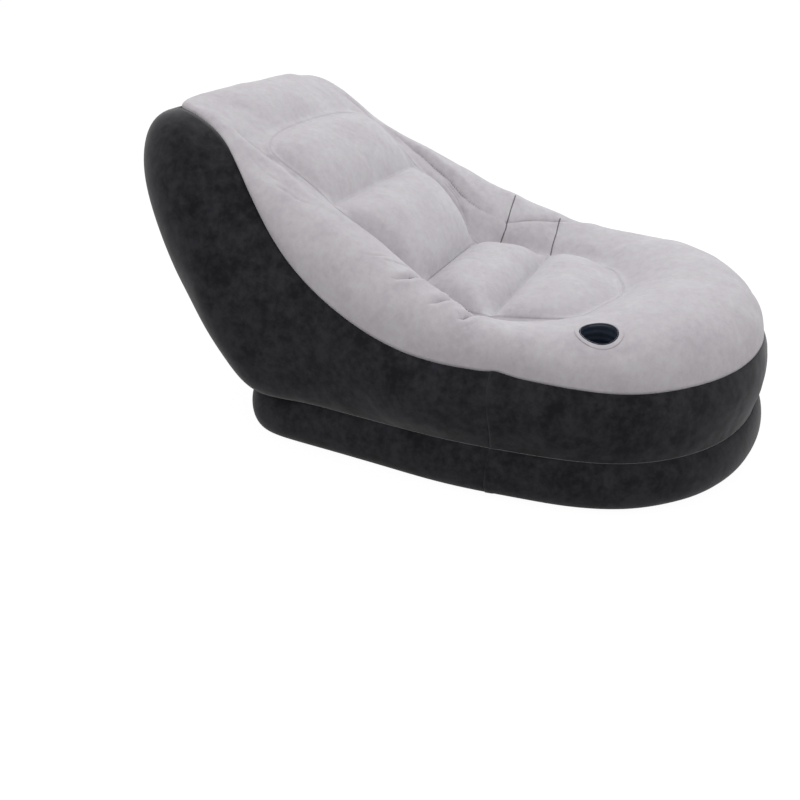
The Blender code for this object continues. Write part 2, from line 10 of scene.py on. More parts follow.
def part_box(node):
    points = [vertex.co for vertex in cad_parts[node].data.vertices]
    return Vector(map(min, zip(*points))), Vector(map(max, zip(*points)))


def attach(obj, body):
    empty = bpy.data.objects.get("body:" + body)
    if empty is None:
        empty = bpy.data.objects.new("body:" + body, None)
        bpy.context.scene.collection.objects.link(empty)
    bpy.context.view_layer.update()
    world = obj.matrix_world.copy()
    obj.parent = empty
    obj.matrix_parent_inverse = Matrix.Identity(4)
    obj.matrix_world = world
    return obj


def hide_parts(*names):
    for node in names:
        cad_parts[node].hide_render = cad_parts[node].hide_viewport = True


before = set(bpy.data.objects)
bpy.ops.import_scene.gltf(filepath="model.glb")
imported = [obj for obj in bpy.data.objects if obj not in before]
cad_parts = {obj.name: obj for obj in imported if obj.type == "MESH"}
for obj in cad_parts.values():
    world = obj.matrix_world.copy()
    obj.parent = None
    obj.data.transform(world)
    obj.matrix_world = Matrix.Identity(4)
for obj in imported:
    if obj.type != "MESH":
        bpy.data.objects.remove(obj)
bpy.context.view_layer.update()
print("frame loaded:", len(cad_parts), "nodes")

# The body. Every sheet hangs between four closed lines round the chair: floor, waist, seam and panel weld.
# A place along a line is a station: 0 at the toe, 6 at the head and back to 12 on the other side.
body = {
    "baseWidth": 0.99,
    "baseLength": 1.255,
    "seamWidth": 0.954,
    "seamLength": 1.355,
    "seamSetback": 0.04,
    "panelWidth": 0.53,
    "panelLength": 0.82,
    "panelSetback": 0.365,
    "waistHeight": 0.115,
    "toeSeamHeight": 0.265,
    "headSeamHeight": 0.745,
    "seatWeldHeight": 0.321,
    "headWeldHeight": 0.678,
    "floorInset": 0.048,
    "waistInset": 0.035,
    "rollRise": 0.16,
    "bandBulge": 0.21,
    "baseBulge": 0.045,
    # handles of the base ring: how high at the floor, how high and how far out at the waist
    "baseHandles": (0.1, 0.78, 0.65),
    "skin": 0.0008,
    # the seam rises a little where the lap of the bands ends under it
    "kinkStation": 2.0,
    "kinkHeight": 0.005,
    "kinkWidth": 0.09,
    # station, across as a share of half the width, along as a share of the length
    "floorPlan": (
        (0, 0, 0), (0.5, 0.432, 0.03), (1, 0.75, 0.108), (1.5, 0.946, 0.23), (2, 1, 0.38),
        (3, 0.99, 0.556), (4, 0.934, 0.726), (4.5, 0.897, 0.835), (5, 0.797, 0.935), (5.4, 0.527, 0.983),
        (6, 0, 1),
    ),
    # the same, then the rise from the lowest to the highest point of the line
    "seam": (
        (0, 0, 0, 0.01), (0.5, 0.416, 0.031, 0), (1, 0.727, 0.106, 0), (1.5, 0.929, 0.213, 0.02),
        (2, 0.985, 0.36, 0.055), (2.5, 1, 0.428, 0.065), (3, 0.993, 0.52, 0.098),
        (3.5, 0.951, 0.634, 0.222), (4, 0.882, 0.742, 0.447), (4.5, 0.757, 0.833, 0.754),
        (4.8, 0.685, 0.887, 0.91), (5, 0.658, 0.935, 0.98), (5.3, 0.577, 0.975, 0.995),
        (5.6, 0.355, 0.982, 1), (6, 0, 0.984, 1),
    ),
    "panel": (
        (0, 0, 0, 0.021), (0.5, 0.395, 0.032, 0.02), (1, 0.721, 0.084, 0.004), (1.5, 0.877, 0.189, 0),
        (2, 0.948, 0.301, 0), (3, 0.791, 0.538, 0.08), (3.5, 0.869, 0.658, 0.342), (4, 0.947, 0.778, 0.605),
        (4.5, 1, 0.877, 0.79), (5, 0.989, 0.958, 0.926), (5.4, 0.679, 0.994, 0.983), (6, 0, 1, 1),
    ),
    # station, then the roll's handle at the seam (out, up) and at the panel weld (out, up), of rollRise
    "roll": (
        (0, -0.08, 0.85, 0.64, 0.62), (1, 0.06, 0.96, 0.66, 0.6), (2, 0.2, 0.9, 0.72, 0.28),
        (3, 0.2, 1.24, 0.45, 0.8), (3.5, 0.17, 1.1, 0.43, 0.75), (4, 0.19, 0.75, 0.37, 0.39),
        (4.5, 0.15, 0.28, 0.22, 0.19), (5, 0, 0.22, 0.13, 0.18), (5.4, 0.1, 0.32, 0.19, 0.34),
        (6, 0.09, 0.28, 0.18, 0.58),
    ),
    # station, then the band's handle at the waist and at the seam: out (of bandBulge), up (of its height)
    "band": (
        (0, 0.05, 0.26, 0.13, 0.25), (2, 0.14, 0.26, 0.21, 0.29), (3, 0.21, 0.22, 0.24, 0.3),
        (4, 0.29, 0.15, 0.4, 0.2), (4.5, 0.46, 0, 0.83, 0.1), (5, 0.53, 0, 1.21, 0),
        (5.4, 0.4, 0.12, 1.04, 0.03), (6, 0.32, 0.18, 0.72, 0.04),
    ),
}
stationsRound = 12
up = np.array((0.0, 0.0, 1.0))


# Lines and sheets

def closedSpline(stations, values, at):
    count = len(stations)
    steps = np.diff(np.append(stations, stations[0] + stationsRound))
    matrix = np.zeros((count, count))
    right = np.zeros(values.shape)
    for i in range(count):
        before, after = i - 1, (i + 1) % count
        matrix[i, before] += steps[before]
        matrix[i, i] += 2 * (steps[before] + steps[i])
        matrix[i, after] += steps[i]
        right[i] = 6 * ((values[after] - values[i]) / steps[i] - (values[i] - values[before]) / steps[before])
    bends = np.linalg.solve(matrix, right)
    at = np.mod(np.asarray(at, float), stationsRound)
    k = np.clip(np.searchsorted(stations, at, side="right") - 1, 0, count - 1)
    kNext = (k + 1) % count
    part, step = (at - stations[k])[:, None], steps[k][:, None]
    cubic = (bends[kNext] - bends[k]) / (6 * step)
    linear = (values[kNext] - values[k]) / step - step * (2 * bends[k] + bends[kNext]) / 6
    return ((cubic * part + bends[k] / 2) * part + linear) * part + values[k]


# reads a half table all round; its first columns change sign on the other side
def readTable(table, at, oddColumns=1):
    rows = np.asarray(table, float)
    inner = rows[1:-1][::-1]
    other = inner[:, 1:].copy()
    other[:, :oddColumns] *= -1
    stations = np.append(rows[:, 0], stationsRound - inner[:, 0])
    return closedSpline(stations, np.concatenate([rows[:, 1:], other]), at)


def unit(vectors):
    return vectors / np.linalg.norm(vectors, axis=-1, keepdims=True)


# how many stations away from the toe, on either side
def stationsFromToe(at):
    return stationsRound / 2 - np.abs(np.mod(at, stationsRound) - stationsRound / 2)


def treeOf(points):
    tree = KDTree(len(points))
    for k, point in enumerate(points):
        tree.insert(point, k)
    tree.balance()
    return tree


# the lines start at the toe, and the model's box has its middle at y = 0
middleY = body["floorInset"] + body["skin"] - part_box("bottom_sheet")[0].y


def floorPlan(at):
    across, along = readTable(body["floorPlan"], at).T
    return np.stack([across * body["baseWidth"] / 2, along * body["baseLength"] - middleY, 0 * along], axis=-1)


def seamLine(at):
    across, along, rise = readTable(body["seam"], at).T
    height = body["toeSeamHeight"] + rise * (body["headSeamHeight"] - body["toeSeamHeight"])
    y = body["seamSetback"] + along * body["seamLength"] - middleY
    fromKink = (stationsFromToe(at) - body["kinkStation"]) / body["kinkWidth"]
    height = height + body["kinkHeight"] * np.exp(-fromKink**2)
    return np.stack([across * body["seamWidth"] / 2, y, height], axis=-1)


def panelLine(at):
    across, along, rise = readTable(body["panel"], at).T
    height = body["seatWeldHeight"] + rise * (body["headWeldHeight"] - body["seatWeldHeight"])
    y = body["panelSetback"] + along * body["panelLength"] - middleY
    return np.stack([across * body["panelWidth"] / 2, y, height], axis=-1)


# level direction square to a line, away from the chair
def outward(line, at, step=0.05):
    at = np.asarray(at)
    ahead = line(at + step) - line(at - step)
    return unit(np.stack([ahead[:, 1], -ahead[:, 0], 0 * ahead[:, 0]], axis=-1))


def bezier(start, first, second, end, rows):
    t = np.asarray(rows, float)[None, :, None]
    start, first, second, end = (points[:, None, :] for points in (start, first, second, end))
    return (1 - t) ** 3 * start + 3 * (1 - t) ** 2 * t * first + 3 * (1 - t) * t**2 * second + t**3 * end


def waistLine(at):
    return floorPlan(at) - outward(floorPlan, at) * body["waistInset"] + up * body["waistHeight"]


def floorLine(at):
    return floorPlan(at) - outward(floorPlan, at) * body["floorInset"]


# from the seam (row 0) over the crest to the panel weld (row 1)
def rollSheet(at, rows):
    seam, panel = seamLine(at), panelLine(at)
    out = unit((seam - panel) * (1, 1, 0))
    handles = readTable(body["roll"], at, 0)[:, :, None] * body["rollRise"]
    first = seam + out * handles[:, 0] + up * handles[:, 1]
    second = panel + out * handles[:, 2] + up * handles[:, 3]
    return bezier(seam, first, second, panel, rows)


# from the waist (row 0) up to the seam (row 1)
def bandSheet(at, rows):
    waist, seam = waistLine(at), seamLine(at)
    height = (seam - waist)[:, 2:]
    handles = readTable(body["band"], at, 0)[:, :, None]
    first = waist + outward(floorPlan, at) * handles[:, 0] * body["bandBulge"] + up * height * handles[:, 1]
    second = seam + outward(seamLine, at) * handles[:, 2] * body["bandBulge"] - up * height * handles[:, 3]
    return bezier(waist, first, second, seam, rows)


# from the floor (row 0) up to the waist (row 1)
def baseSheet(at, rows):
    lowShare, highShare, highOutShare = body["baseHandles"]
    floor, waist, out = floorLine(at), waistLine(at), outward(floorPlan, at)
    first = floor + out * body["baseBulge"] + up * body["waistHeight"] * lowShare
    outReach = body["baseBulge"] * highOutShare + body["floorInset"] - body["waistInset"]
    second = floor * (1, 1, 0) + out * outReach + up * body["waistHeight"] * highShare
    return bezier(floor, first, second, waist, rows)


# stations spaced along the middle of a sheet, closer where the arms are
def spacedStations(sheet, first, last, count, armShare=0.0):
    armStation, armWidth = 2.7, 1.1
    fine = np.linspace(first, last, 60 * int(last - first + 1))
    middle = sheet(fine, [0.5])[:, 0]
    weight = 1 + armShare * np.exp(-((stationsFromToe(fine) - armStation) / armWidth) ** 4)
    steps = np.linalg.norm(np.diff(middle, axis=0), axis=1) * (weight[1:] + weight[:-1]) / 2
    run = np.append(0, np.cumsum(steps))
    return np.interp(np.linspace(0, run[-1], count + 1), run, fine)


# the normals at a grid's points
def gridNormals(points, closed=False):
    if closed:
        points = np.concatenate([points[-2:-1], points, points[1:2]])
    normals = unit(np.cross(np.gradient(points, axis=0), np.gradient(points, axis=1)))
    return normals[1:-1] if closed else normals


# a grid smoothed by its neighbours, so many times
def blurred(grid, times, closed=False):
    for _ in range(times):
        for axis in (0, 1):
            turned = np.moveaxis(grid, axis, 0)
            if closed and axis == 0:
                before, after = np.roll(turned[:-1], 1, 0), np.roll(turned[:-1], -1, 0)
                turned = turned[:-1] / 2 + (before + after) / 4
                turned = np.concatenate([turned, turned[:1]])
            else:
                padded = np.concatenate([turned[:1], turned, turned[-1:]])
                turned = turned / 2 + (padded[:-2] + padded[2:]) / 4
            grid = np.moveaxis(turned, 0, axis)
    return grid


# a grid stretched to more columns and rows
def stretched(grid, columns, rows):
    for axis, count in ((0, columns), (1, rows)):
        turned = np.moveaxis(grid, axis, 0)
        at = np.linspace(0, len(turned) - 1, count + 1)
        low = np.minimum(at.astype(int), len(turned) - 2)
        part = (at - low).reshape(-1, *[1] * (grid.ndim - 1))
        grid = np.moveaxis(turned[low] * (1 - part) + turned[low + 1] * part, 0, axis)
    return grid


# Meshes

# a create_grid whose points move to a grid of places, columns first; it keeps each point's column and row
def gridShape(points, closed=False):
    columns, rows = points.shape[0] - 1, points.shape[1] - 1
    shape = bmesh.new()
    shape.loops.layers.uv.new("sheet")
    bmesh.ops.create_grid(shape, x_segments=columns, y_segments=rows, size=1, calc_uvs=True)
    column = shape.verts.layers.float.new("column")
    row = shape.verts.layers.float.new("row")
    for vert in shape.verts:
        i, j = round((vert.co.x + 1) / 2 * columns), round((vert.co.y + 1) / 2 * rows)
        vert.co = points[i, j]
        vert[column], vert[row] = i, j
    if closed:
        bmesh.ops.remove_doubles(shape, verts=shape.verts, dist=1e-6)
    return shape


def meshObject(name, shape):
    mesh = bpy.data.meshes.new(name)
    shape.to_mesh(mesh)
    shape.free()
    piece = bpy.data.objects.new(name, mesh)
    bpy.context.scene.collection.objects.link(piece)
    return piece


def addPiece(name, shape, material, nodes=(), thickness=0.0, offset=-1.0):
    piece = meshObject(name, shape)
    piece.data.materials.append(material)
    piece.data.shade_smooth()
    if thickness:
        wall = piece.modifiers.new("wall", "SOLIDIFY")
        wall.thickness = thickness
        wall.offset = offset
    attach(piece, "root")
    if nodes:
        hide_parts(*nodes)
    return piece


holeEdge = {"cell": 0.007, "smoothings": 4, "share": 0.3}


# opens a round hole: faces inside it go, and the ragged edge moves out to the circle
def openHole(shape, place, radius, reach):
    inverse = place.inverted()
    local = {vert: inverse @ vert.co for vert in shape.verts}
    near = {v for v, p in local.items() if math.hypot(p.x, p.y) < radius and abs(p.z) < reach}
    gone = [face for face in shape.faces if any(v in near for v in face.verts)]
    bmesh.ops.delete(shape, geom=gone, context="FACES")
    ring = {v for v in shape.verts if v.is_boundary and abs(local[v].z) < reach
            and math.hypot(local[v].x, local[v].y) < radius + 3 * holeEdge["cell"]}
    for vert in ring:
        flat = Vector((local[vert].x, local[vert].y)).normalized() * radius
        vert.co = place @ Vector((flat.x, flat.y, local[vert].z))
    around = {other for vert in ring for edge in vert.link_edges for other in edge.verts} - ring
    for _ in range(holeEdge["smoothings"]):
        bmesh.ops.smooth_vert(shape, verts=list(around), factor=holeEdge["share"], use_axis_x=True,
                              use_axis_y=True, use_axis_z=True)


# Puckers: a sheet swells as cloth between its welds, and the folds that it makes are kept

puckerForm = {
    "frames": 30,
    "pressure": 4.0,
    "mass": 0.25,
    "tension": 18,
    "bending": 0.25,
    "quality": 4,
    "broadBlur": 50,
    "fadeBlur": 5,
    "fadeGain": 2.5,
    "softCap": 0.0016,
    "lastBlur": 3,
}


# the points of a grid that are welded: its first and last two rows
def heldGrid(points):
    pinned = np.zeros(points.shape[:2], bool)
    pinned[:, [0, 1, -2, -1]] = True
    return pinned


def puckered(name, points, pinned, growth, closed=False):
    coarse = points[::2, ::2]
    sheet = meshObject(name + "Cloth", gridShape(coarse, closed))
    columns, rows = (np.zeros(len(sheet.data.vertices)) for _ in range(2))
    sheet.data.attributes["column"].data.foreach_get("value", columns)
    sheet.data.attributes["row"].data.foreach_get("value", rows)
    at = (columns.round().astype(int), rows.round().astype(int))
    held = pinned[::2, ::2][at]
    welds = sheet.vertex_groups.new(name="welds")
    welds.add([int(k) for k in np.flatnonzero(held)], 1.0, "REPLACE")
    cloth = sheet.modifiers.new("cloth", "CLOTH")
    settings = cloth.settings
    settings.quality = puckerForm["quality"]
    settings.mass = puckerForm["mass"]
    settings.tension_stiffness = settings.compression_stiffness = puckerForm["tension"]
    settings.shear_stiffness = puckerForm["tension"] / 3
    settings.bending_stiffness = puckerForm["bending"]
    settings.use_pressure = True
    settings.uniform_pressure_force = puckerForm["pressure"]
    settings.shrink_min = -growth
    settings.vertex_group_mass = "welds"
    settings.effector_weights.gravity = 0
    cloth.collision_settings.use_collision = False
    cloth.point_cache.frame_end = puckerForm["frames"]
    scene = bpy.context.scene
    for frameNumber in range(1, puckerForm["frames"] + 1):
        scene.frame_set(frameNumber)
    swollen = sheet.evaluated_get(bpy.context.evaluated_depsgraph_get()).data
    places = np.zeros(3 * len(swollen.vertices))
    swollen.vertices.foreach_get("co", places)
    moves = np.zeros(coarse.shape)
    moves[at] = places.reshape(-1, 3) - coarse[at]
    if closed:
        moves[0] = moves[-1] = moves[0] + moves[-1]
    scene.frame_set(1)
    bpy.data.objects.remove(sheet)
    moves -= blurred(moves, puckerForm["broadBlur"], closed)
    fade = blurred(pinned[::2, ::2, None].astype(float), puckerForm["fadeBlur"], closed)
    moves *= 1 - np.clip(puckerForm["fadeGain"] * fade, 0, 1)
    reach = np.linalg.norm(moves, axis=-1, keepdims=True)
    moves *= puckerForm["softCap"] / (puckerForm["softCap"] + reach)
    print("  %s: puckers up to %.1f mm" % (name, np.linalg.norm(moves, axis=-1).max() * 1000))
    moves = stretched(moves, points.shape[0] - 1, points.shape[1] - 1)
    return points + blurred(moves, puckerForm["lastBlur"], closed)


# Materials

def newMaterial(name):
    material = bpy.data.materials.new(name)
    material.use_nodes = True
    return material, material.node_tree, material.node_tree.nodes["Principled BSDF"]


def noise(tree, coordinates, scale, detail=3, roughness=0.5):
    made = tree.nodes.new("ShaderNodeTexNoise")
    for socket, number in (("Scale", scale), ("Detail", detail), ("Roughness", roughness)):
        made.inputs[socket].default_value = number
    tree.links.new(coordinates, made.inputs["Vector"])
    return made.outputs["Fac"]


def mapRange(tree, value, low, high, toLow, toHigh):
    made = tree.nodes.new("ShaderNodeMapRange")
    for socket, number in (("From Min", low), ("From Max", high), ("To Min", toLow), ("To Max", toHigh)):
        made.inputs[socket].default_value = number
    tree.links.new(value, made.inputs["Value"])
    return made.outputs["Result"]


def mathNode(tree, operation, first, second):
    made = tree.nodes.new("ShaderNodeMath")
    made.operation = operation
    setSocket(tree, made.inputs[0], first)
    setSocket(tree, made.inputs[1], second)
    return made.outputs["Value"]


def setSocket(tree, socket, value):
    if isinstance(value, tuple):
        socket.default_value = (*value, 1)
    elif isinstance(value, (int, float)):
        socket.default_value = value
    else:
        tree.links.new(value, socket)


def mixColours(tree, factor, first, second, blend="MIX"):
    made = tree.nodes.new("ShaderNodeMix")
    made.data_type = "RGBA"
    made.blend_type = blend
    for socket, value in ((made.inputs[0], factor), (made.inputs[6], first), (made.inputs[7], second)):
        setSocket(tree, socket, value)
    return made.outputs[2]


def bump(tree, height, distance, strength, before=None):
    made = tree.nodes.new("ShaderNodeBump")
    made.inputs["Distance"].default_value = distance
    made.inputs["Strength"].default_value = strength
    tree.links.new(height, made.inputs["Height"])
    if before:
        tree.links.new(before, made.inputs["Normal"])
    return made.outputs["Normal"]


paleFlock = {
    "colour": (0.62, 0.61, 0.63), "shade": (0.53, 0.505, 0.53), "sheen": 0.25, "roughness": 0.9,
    "cloudScale": 13, "brushScale": 60, "contrast": 0.13,
}
darkFlock = {
    "colour": (0.031, 0.0315, 0.0365), "shade": (0.009, 0.0095, 0.0115), "sheen": 0.35, "roughness": 0.85,
    "cloudScale": 17, "brushScale": 55, "contrast": 0.1,
}
nap = {"grainScale": 900, "speck": 0.88, "grainDepth": 0.0003, "brushDepth": 0.0012, "gloss": 0.15}


# short flocked nap: soft clouds where the pile leans, brushed patches and a fine grain
def flockMaterial(name, look):
    material, tree, shader = newMaterial(name)
    place = tree.nodes.new("ShaderNodeTexCoord").outputs["Object"]
    clouds = noise(tree, place, look["cloudScale"], 4, 0.6)
    brushed = noise(tree, place, look["brushScale"], 4, 0.65)
    grain = noise(tree, place, nap["grainScale"], 2, 0.7)
    lean = mathNode(tree, "ADD", *(mathNode(tree, "MULTIPLY", part, 0.5) for part in (clouds, brushed)))
    share = mapRange(tree, lean, 0.5 - look["contrast"], 0.5 + look["contrast"], 0, 1)
    colour = mixColours(tree, share, look["shade"], look["colour"])
    specks = mixColours(tree, mapRange(tree, grain, 0.35, 0.65, 0, 1), (nap["speck"],) * 3, (1, 1, 1))
    tree.links.new(mixColours(tree, 1.0, colour, specks, "MULTIPLY"), shader.inputs["Base Color"])
    tree.links.new(mapRange(tree, lean, 0.3, 0.7, look["roughness"], 1), shader.inputs["Roughness"])
    shader.inputs["Sheen Weight"].default_value = look["sheen"]
    shader.inputs["Sheen Roughness"].default_value = 0.4
    shader.inputs["Specular IOR Level"].default_value = nap["gloss"]
    normal = bump(tree, grain, nap["grainDepth"], 0.4)
    normal = bump(tree, brushed, nap["brushDepth"], 0.35, normal)
    tree.links.new(normal, shader.inputs["Normal"])
    return material


vinyl = {"hazeScale": 60, "waveScale": 25, "paler": 1.25, "roughnessSpread": 0.12}


# smooth plasticised sheet with a faint haze and slow ripples
def vinylMaterial(name, colour, roughness, ripple=0.0004):
    material, tree, shader = newMaterial(name)
    place = tree.nodes.new("ShaderNodeTexCoord").outputs["Object"]
    haze = noise(tree, place, vinyl["hazeScale"], 3)
    waves = noise(tree, place, vinyl["waveScale"], 2)
    pale = tuple(min(1, c * vinyl["paler"] + 0.004) for c in colour)
    tree.links.new(mixColours(tree, haze, colour, pale), shader.inputs["Base Color"])
    rougher = roughness + vinyl["roughnessSpread"]
    tree.links.new(mapRange(tree, haze, 0.3, 0.7, roughness, rougher), shader.inputs["Roughness"])
    tree.links.new(bump(tree, waves, ripple, 0.6), shader.inputs["Normal"])
    return material


paleMaterial = flockMaterial("paleFlock", paleFlock)
darkMaterial = flockMaterial("darkFlock", darkFlock)
bottomMaterial = vinylMaterial("bottomVinyl", (0.03, 0.032, 0.036), 0.45)
innerMaterial = vinylMaterial("innerVinyl", (0.45, 0.47, 0.5), 0.35)
cupMaterial = vinylMaterial("cupVinyl", (0.03, 0.04, 0.06), 0.1)
valveMaterial = vinylMaterial("valvePlastic", (0.05, 0.05, 0.055), 0.4, 0.0001)
sealMaterial = vinylMaterial("sealRubber", (0.02, 0.02, 0.02), 0.65, 0.0001)
# the tie weld strips' dark grey is partly the welded mark itself and partly painted shade of the groove along
# each tie
weldAndShadeMaterial = vinylMaterial("weldLineAndShade", (0.13, 0.12, 0.13), 0.7, 0.0001)
print("materials made")


# Folds: lines on a sheet as stations and rows, pressed in sharply, softly, or with ridges beside them

# what a fold has unless it says otherwise; ridges are height, offset and width, and fine asks for finer faces
plainFold = {
    "sharp": 0, "sharpWidth": 0.004, "soft": 0, "softWidth": 0.02, "ends": (1, 1), "ridges": (), "fine": False,
    "margin": 0.1, "fadeShare": 0.35,
}


# stations and rows spaced along a path
def pathSpots(path, count=70):
    path = np.asarray(path, float)
    run = np.append(0, np.cumsum(np.linalg.norm(np.diff(path, axis=0), axis=1)))
    at = np.linspace(0, run[-1], count)
    return np.interp(at, run, path[:, 0]), np.interp(at, run, path[:, 1])


# the same as points on a sheet
def pathPoints(sheet, path):
    return np.array([sheet([station], [row])[0, 0] for station, row in zip(*pathSpots(path))])


# moves points along their normals, by their distance from each fold's path and their side of it
def foldMoves(points, normals, sheet, folds):
    height = np.zeros(len(points))
    for fold in folds:
        line = pathPoints(sheet, fold["path"])
        low, high = line.min(axis=0) - fold["margin"], line.max(axis=0) + fold["margin"]
        near = np.flatnonzero(((points > low) & (points < high)).all(axis=1))
        gaps = np.linalg.norm(points[near][:, None] - line[None], axis=-1)
        which, gap = gaps.argmin(axis=1), gaps.min(axis=1)
        along = which / (len(line) - 1)
        ahead = unit(np.gradient(line, axis=0))[which]
        side = np.einsum("ij,ij->i", np.cross(normals[near], ahead), points[near] - line[which])
        (start, end), share = fold["ends"], fold["fadeShare"]
        fade = np.clip(along / share, 1 - start, 1) * np.clip((1 - along) / share, 1 - end, 1)
        move = -fold["sharp"] * np.exp(-gap / fold["sharpWidth"])
        move -= fold["soft"] * np.exp(-(gap / fold["softWidth"]) ** 2)
        for ridge, offset, width in fold["ridges"]:
            move += ridge * np.exp(-((side - offset) / width) ** 2 - (gap / (abs(offset) + 2 * width)) ** 4)
        height[near] += move * fade * fade * (3 - 2 * fade)
    return height[:, None] * normals


# the sheet keeps its place along its two edges
def heldEdge(rows):
    return np.clip(np.minimum(rows, surroundForm["rows"] - rows) / surroundForm["edgeRows"], 0, 1)


# finer faces along the sharp folds, then the folds themselves
def foldShape(shape, sheet, folds, reach, cuts):
    tree = treeOf(np.concatenate([pathPoints(sheet, fold["path"]) for fold in folds if fold["fine"]]))
    close = [face for face in shape.faces if tree.find(face.calc_center_median())[2] < reach]
    edges = list({edge for face in close for edge in face.edges})
    bmesh.ops.subdivide_edges(shape, edges=edges, cuts=cuts, use_grid_fill=True)
    shape.normal_update()
    points = np.array([vert.co for vert in shape.verts])
    normals = np.array([vert.normal for vert in shape.verts])
    rows = shape.verts.layers.float["row"]
    held = heldEdge(np.array([vert[rows] for vert in shape.verts]))
    moves = foldMoves(points, normals, sheet, folds) * awayFrom(points, cupPlace, cupHole) * held[:, None]
    for vert, move in zip(shape.verts, moves):
        vert.co += Vector(move)


# a thin raised strip along a path, lying on the sheet as it has been moved; its dark colour is partly the
# weld's own mark and partly painted shade of the groove along the tie
def addWeldAndShadeLine(name, shown, stations, path):
    at, rows = pathSpots(path, 60)
    columns = np.interp(at, stations, np.arange(len(stations)))
    points = sampled(shown, columns, rows * (shown.shape[1] - 1))
    normals = unit(sampled(gridNormals(shown), columns, rows * (shown.shape[1] - 1)))
    across = unit(np.cross(unit(np.gradient(points, axis=0)), normals))
    profile = np.linspace(-1, 1, 7)
    rise = surroundForm["tieWeldHeight"] * np.sqrt(np.clip(1 - profile**2, 0, 1)) - surroundForm["tieWeldSink"]
    grid = points[:, None] + across[:, None] * (profile * surroundForm["tieWeldWidth"] / 2)[None, :, None]
    grid = grid + normals[:, None] * rise[None, :, None]
    addPiece(name, gridShape(grid[:, ::-1]), weldAndShadeMaterial)


# values of a grid between its columns and rows
def sampled(grid, columns, rows):
    i = np.clip(columns.astype(int), 0, grid.shape[0] - 2)
    j = np.clip(rows.astype(int), 0, grid.shape[1] - 2)
    u, v = (columns - i)[:, None], (rows - j)[:, None]
    low = grid[i, j] * (1 - v) + grid[i, j + 1] * v
    return low * (1 - u) + (grid[i + 1, j] * (1 - v) + grid[i + 1, j + 1] * v) * u


# slow dents of a sheet that isn't perfectly tight
def dents(points, normals, depth, form):
    waves = 14
    spin = np.random.default_rng(form["dentSeed"])
    height = np.zeros(points.shape[:2])
    for _ in range(waves):
        direction = unit(spin.normal(size=3)) * spin.uniform(0.7, 1.6) * 2 * math.pi / form["dentWave"]
        height += np.cos(points @ direction + spin.uniform(0, 2 * math.pi))
    height *= depth / math.sqrt(waves / 2)
    row = np.linspace(0, 1, points.shape[1])
    return (height * (1 - (2 * row - 1) ** 6)[None])[..., None] * normals


# the flock fills the bottom of the groove along the panel weld, and of the crease between seat and back
grooveForm = {"lift": 0.008, "width": 0.011, "creaseStation": 3, "bead": 0.0016, "beadSink": 0.0004}


# the places where panels are welded, and the way up out of the groove
def grooveLines():
    at = np.linspace(0, stationsRound, 961)
    crease = grooveForm["creaseStation"]
    across = np.linspace(1, -1, 121)[:, None] * (1, 0, 0) + (0, 1, 1)
    lines = []
    for side, line in ((np.clip(stationsFromToe(at), 1, 5), panelLine(at)),
                       (np.full(len(across), crease), panelLine([crease]) * across)):
        ahead = (panelLine(side + 0.02) - panelLine(side - 0.02)) * (0, 1, 1)
        lines.append((line, unit(np.cross((1.0, 0.0, 0.0), ahead))))
    return lines


def filledGroove(points):
    lines, ways = (np.concatenate(parts) for parts in zip(*grooveLines()))
    tree = treeOf(lines)
    found = [tree.find(point)[1:] for point in points.reshape(-1, 3)]
    which, gap = np.array([k for k, _ in found]), np.array([distance for _, distance in found])
    lift = grooveForm["lift"] * np.exp(-(gap / grooveForm["width"]) ** 2)
    return (ways[which] * lift[:, None]).reshape(points.shape)


# a round bead of flock in the bottom of each groove
def makeBeads():
    turns = np.linspace(0, -2 * math.pi, 9)
    turns[-1] = 0
    for (name, closed), (line, ways) in zip((("panelBead", True), ("creaseBead", False)), grooveLines()):
        line = line + ways * (grooveForm["lift"] - grooveForm["beadSink"])
        ahead = unit(np.gradient(line, axis=0))
        if closed:
            ahead[0] = ahead[-1] = unit(line[1] - line[-2])
        aside = unit(np.cross(ahead, ways))
        rise = np.cross(aside, ahead)
        radius = np.full(len(line), grooveForm["bead"])
        if not closed:
            radius[[0, -1]] = 0
        ring = aside[:, None] * np.cos(turns)[:, None] + rise[:, None] * np.sin(turns)[:, None]
        points = line[:, None] + ring * radius[:, None, None]
        if closed:
            points[-1] = points[0]
        addPiece(name, gridShape(points, True), paleMaterial)


# Surround

surroundForm = {
    "columns": 640,
    "rows": 72,
    "growth": 0.022,
    "fineReach": 0.009,
    "fineCuts": 4,
    "edgeRows": 5,
    "tieReach": 0.008,
    "tieWeldWidth": 0.0045,
    "tieWeldHeight": 0.0014,
    "tieWeldSink": 0.0004,
    "dentDepth": 0.0009,
    "dentWave": 0.16,
    "dentSeed": 3,
}
# the two ties that draw the inner wall of each arm in, from the crest down to the panel weld
tiePaths = {
    "rear": ((2.95, 0.46), (2.83, 0.66), (2.75, 0.79), (2.71, 0.89), (2.68, 0.97)),
    "front": ((2.35, 0.49), (2.21, 0.67), (2.12, 0.82), (2.03, 0.95), (2.02, 0.98)),
}
bothSides = {
    "left": lambda path: path,
    "right": lambda path: tuple((stationsRound - station, row) for station, row in path),
}
